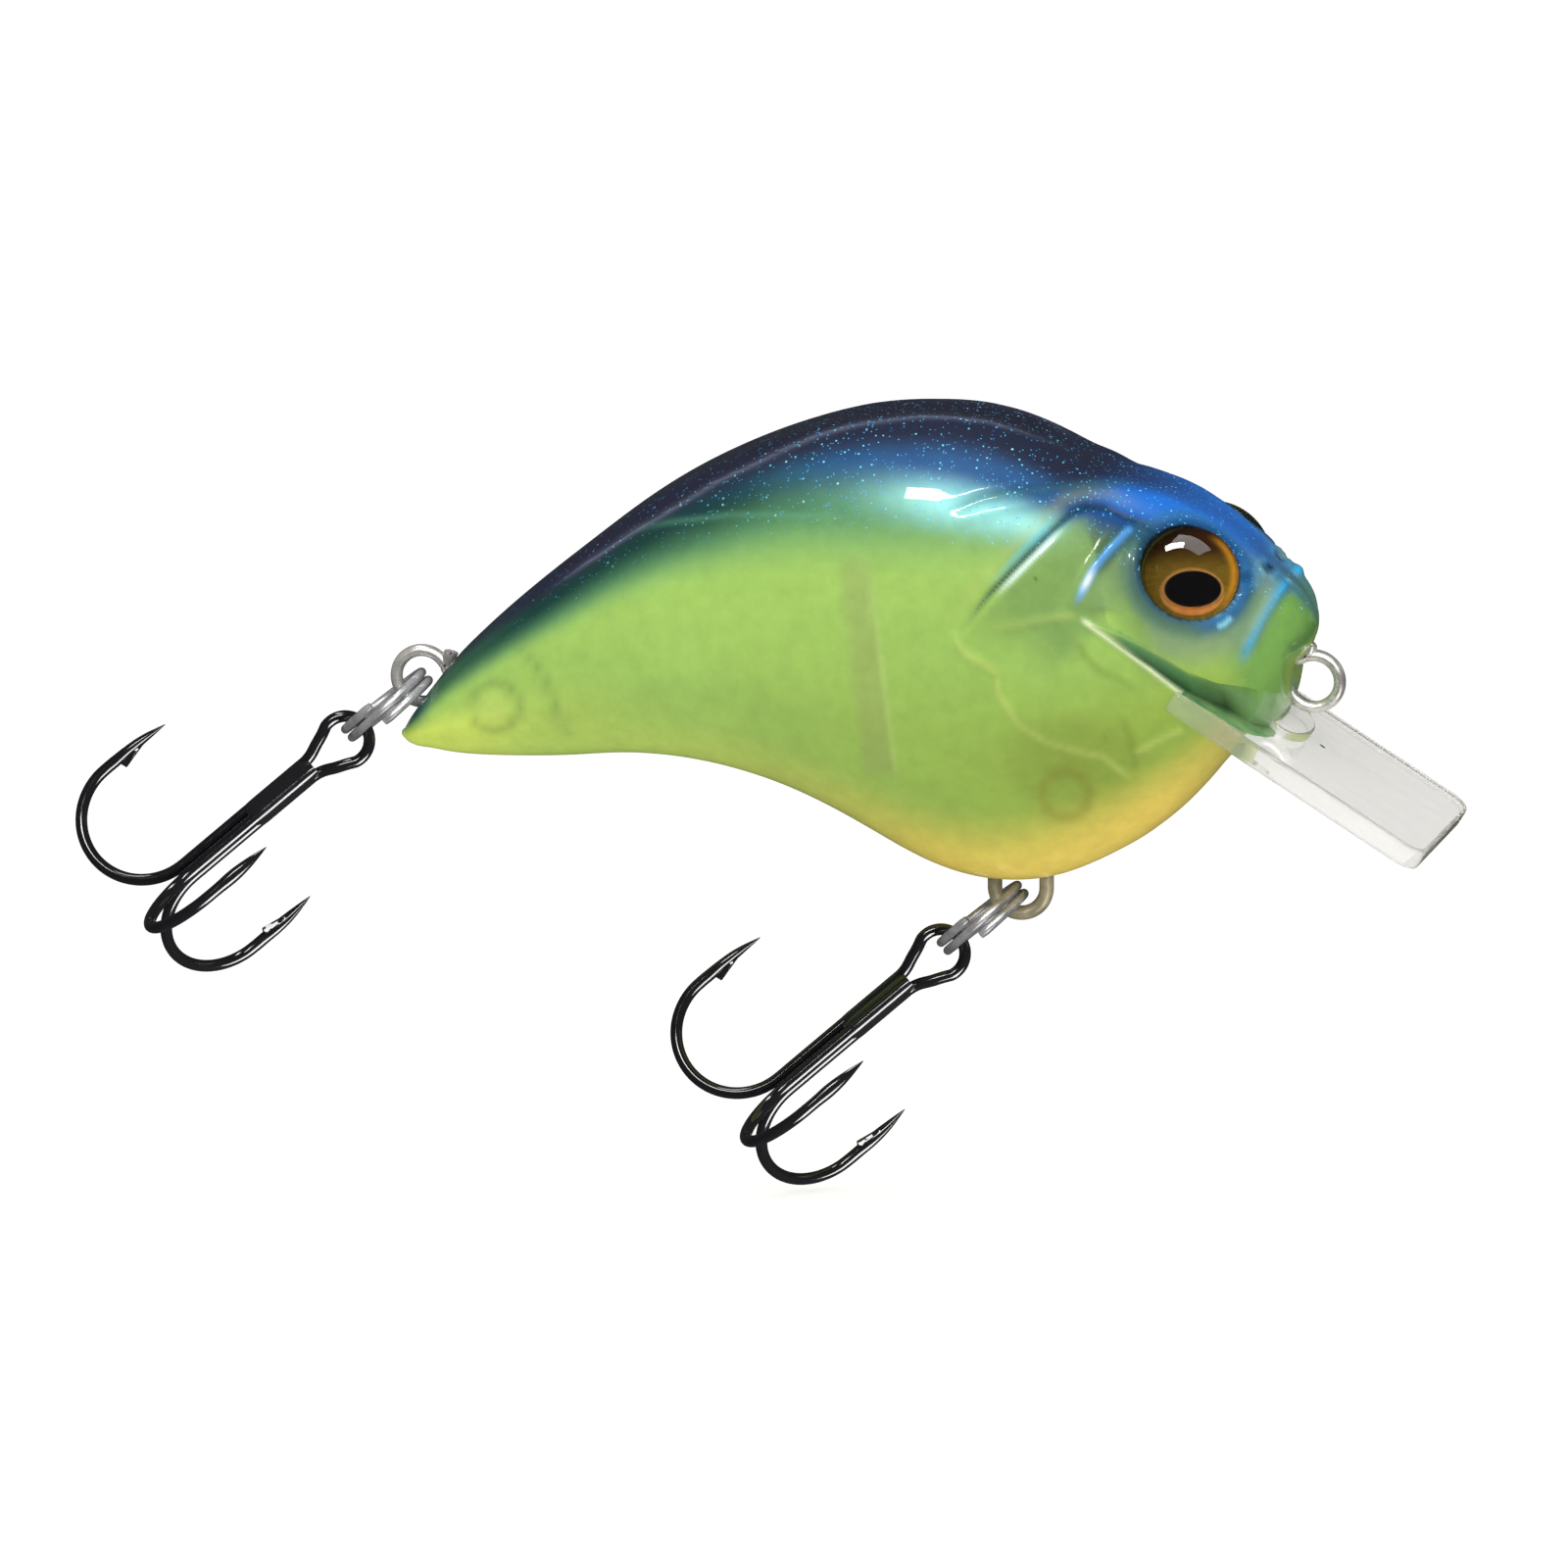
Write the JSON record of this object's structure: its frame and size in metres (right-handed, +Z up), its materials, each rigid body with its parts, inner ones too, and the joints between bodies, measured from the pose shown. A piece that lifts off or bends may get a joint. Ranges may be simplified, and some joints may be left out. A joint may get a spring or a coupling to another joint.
{
  "type": "crankbait lure",
  "caption": "Square-billed crankbait lure: deep painted body in two hollow halves, clear diving lip, wire line tie, belly and tail hooks on split rings.",
  "frame": {"origin": "centre of the line-tie wire eye, on the plane between the two body halves", "axes": "+X towards the nose and the diving lip, +Y towards the lure's left side, +Z up as the lure swims"},
  "size_m": [0.0898, 0.0228, 0.0515],
  "materials": {
    "right_body_shell": "gloss clear coat over blue, green and yellow paint",
    "left_body_shell": "gloss clear coat over blue, green and yellow paint",
    "diving_lip": "clear moulded plastic",
    "line_tie_eye": "drawn stainless wire",
    "belly_hanger_eye": "drawn stainless wire",
    "tail_hanger_eye": "drawn stainless wire",
    "belly_split_ring": "grey nickel plate",
    "tail_split_ring": "grey nickel plate",
    "belly_treble_double_hook": "black nickel plate",
    "belly_treble_single_hook": "black nickel plate",
    "tail_treble_double_hook": "black nickel plate",
    "tail_treble_single_hook": "black nickel plate",
    "right_eye_foil": "printed gold foil",
    "left_eye_foil": "printed gold foil",
    "right_eye_dome": "clear domed resin",
    "left_eye_dome": "clear domed resin",
    "ballast_slug": "plain weight metal",
    "ballast_shot": "plain weight metal",
    "rattle_ball_rear": "polished ball",
    "rattle_ball_front": "polished ball"
  },
  "bodies": {
    "lure": {"right_body_shell": "right_body_shell", "left_body_shell": "left_body_shell", "diving_lip": "diving_lip", "line_tie_eye": "line_tie_eye", "belly_hanger_eye": "belly_hanger_eye", "tail_hanger_eye": "tail_hanger_eye", "right_eye_foil": "right_eye_foil", "left_eye_foil": "left_eye_foil", "right_eye_dome": "right_eye_dome", "left_eye_dome": "left_eye_dome", "ballast_slug": "ballast_slug", "ballast_shot": "ballast_shot"},
    "belly_ring": {"belly_split_ring": "belly_split_ring"},
    "belly_treble": {"belly_treble_double_hook": "belly_treble_double_hook", "belly_treble_single_hook": "belly_treble_single_hook"},
    "tail_ring": {"tail_split_ring": "tail_split_ring"},
    "tail_treble": {"tail_treble_double_hook": "tail_treble_double_hook", "tail_treble_single_hook": "tail_treble_single_hook"},
    "rear_rattle": {"rattle_ball_rear": "rattle_ball_rear"},
    "front_rattle": {"rattle_ball_front": "rattle_ball_front"}
  },
  "joints": [
    {"name": "belly_ring_swing", "type": "hinge", "parent": "lure", "child": "belly_ring", "pos_m": [-0.01925, 0, -0.01425], "axis": [0, 1, 0], "range_deg": [-100, 28]},
    {"name": "belly_treble_swing", "type": "hinge", "parent": "belly_ring", "child": "belly_treble", "pos_m": [-0.02174, 0, -0.01641], "axis": [-0.6547, 0, 0.7559], "range_deg": [-70, 40]},
    {"name": "tail_ring_swing", "type": "hinge", "parent": "lure", "child": "tail_ring", "pos_m": [-0.0587, 0, -0.0018], "axis": [0, 1, 0], "range_deg": [-12, 75]},
    {"name": "tail_treble_swing", "type": "hinge", "parent": "tail_ring", "child": "tail_treble", "pos_m": [-0.06103, 0, -0.00382], "axis": [-0.6547, 0, 0.7559], "range_deg": [-70, 40]},
    {"name": "rear_rattle_roll", "type": "slide", "parent": "lure", "child": "rear_rattle", "axis": [1, 0, 0], "range_m": [-0.0022, 0]},
    {"name": "front_rattle_roll", "type": "slide", "parent": "lure", "child": "front_rattle", "axis": [1, 0, 0], "range_m": [0, 0.0015]}
  ]
}
